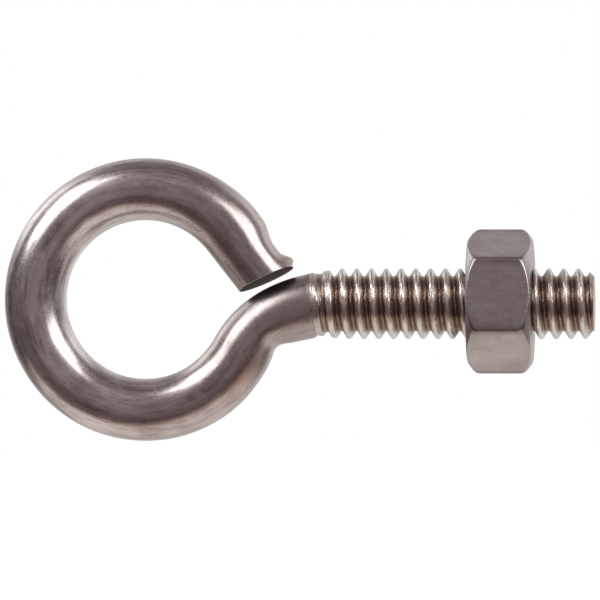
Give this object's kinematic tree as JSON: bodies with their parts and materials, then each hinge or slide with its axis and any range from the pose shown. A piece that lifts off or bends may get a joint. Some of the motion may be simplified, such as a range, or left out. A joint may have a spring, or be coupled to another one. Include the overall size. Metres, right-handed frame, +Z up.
{
  "type": "eye bolt",
  "caption": "Bent-wire eye bolt with an offset neck, a rolled thread and a hex nut that runs along it.",
  "frame": {"origin": "centre of the eye, on the wire's middle plane", "axes": "+X along the shank towards the threaded tip, +Z up in the plane of the eye, +Y through the eye"},
  "size_m": [0.0508, 0.0114, 0.0244],
  "materials": {
    "bent_wire": "drawn and tumbled stainless steel with a rolled thread",
    "nut_steel": "machined stainless steel",
    "nut_face_steel": "turned stainless steel"
  },
  "bodies": {
    "bolt": {"eye_bolt": "bent_wire"},
    "nut_face": {"nut_bearing_face": "nut_face_steel"},
    "nut": {"hex_nut": "nut_steel"}
  },
  "joints": [
    {"name": "nut_travel", "type": "slide", "parent": "bolt", "child": "nut_face", "axis": [1, 0, 0], "range_m": [-0.0108, 0.0102]},
    {"name": "nut_turn", "type": "hinge", "parent": "nut_face", "child": "nut", "pos_m": [0.0278, 0, -0.00036], "axis": [1, 0, 0], "range_deg": [-3060, 2880]}
  ],
  "couplings": [
    {"joint": "nut_travel", "follows": "nut_turn", "m_per_rad": 0.00020213}
  ]
}
